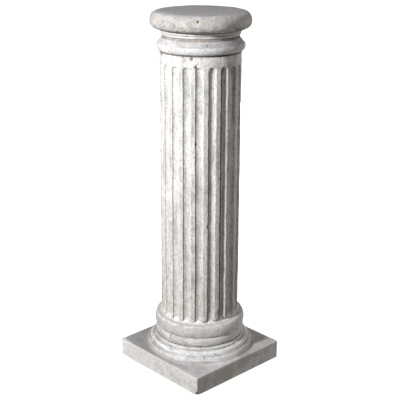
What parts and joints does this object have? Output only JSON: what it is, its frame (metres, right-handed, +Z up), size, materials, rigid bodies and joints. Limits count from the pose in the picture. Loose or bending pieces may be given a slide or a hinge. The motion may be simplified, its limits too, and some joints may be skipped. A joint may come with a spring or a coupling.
{
  "type": "fluted doric column",
  "caption": "Free-standing fluted round column on a square plinth, with ring mouldings at its foot and neck and a thick round flat top that carries a bust or planter.",
  "frame": {"origin": "centre of the square underside, on the floor", "axes": "+Z up along the column's axis; X and Y along the sides of the square plinth, whose sides are alike"},
  "size_m": [0.3, 0.3, 0.931],
  "materials": {
    "cast_stone": "matt pale cast stone with a grey antique wash in the creases, worn lighter edges and small casting pits"
  },
  "bodies": {
    "root": {"fluted_column": "cast_stone"}
  },
  "joints": []
}
